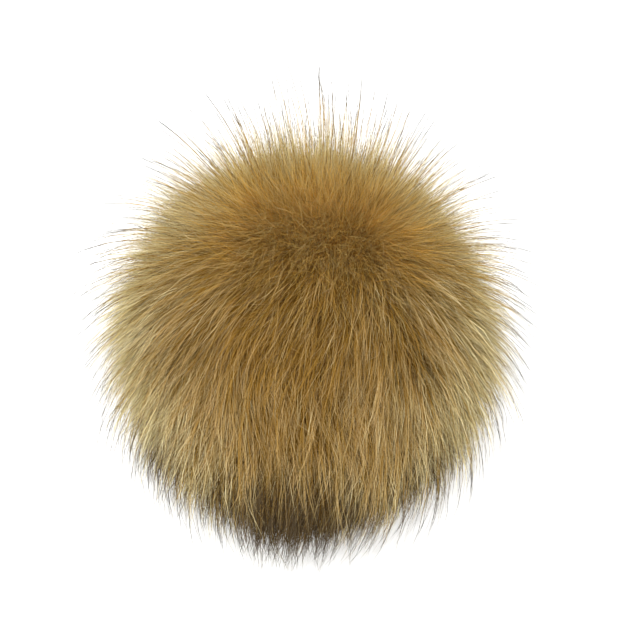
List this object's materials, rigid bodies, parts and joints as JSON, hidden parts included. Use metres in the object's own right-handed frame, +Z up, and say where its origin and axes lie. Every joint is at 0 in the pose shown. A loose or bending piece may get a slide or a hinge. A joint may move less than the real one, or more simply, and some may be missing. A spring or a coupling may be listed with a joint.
{
  "type": "faux fur pom pom",
  "caption": "Round faux fur pom pom, a soft ball with long pile combed down and outwards from its crown and a small flat spot to rest on.",
  "frame": {"origin": "on the surface that the pom pom rests on, under the centre of its ball", "axes": "+Z up, away from the surface, and -Y towards the side that the pile is mostly seen from"},
  "size_m": [0.11, 0.1182, 0.0996],
  "materials": {
    "fur": "long soft pile, camel brown with darker tips"
  },
  "bodies": {
    "root": {"pom_pom": "fur"}
  },
  "joints": []
}
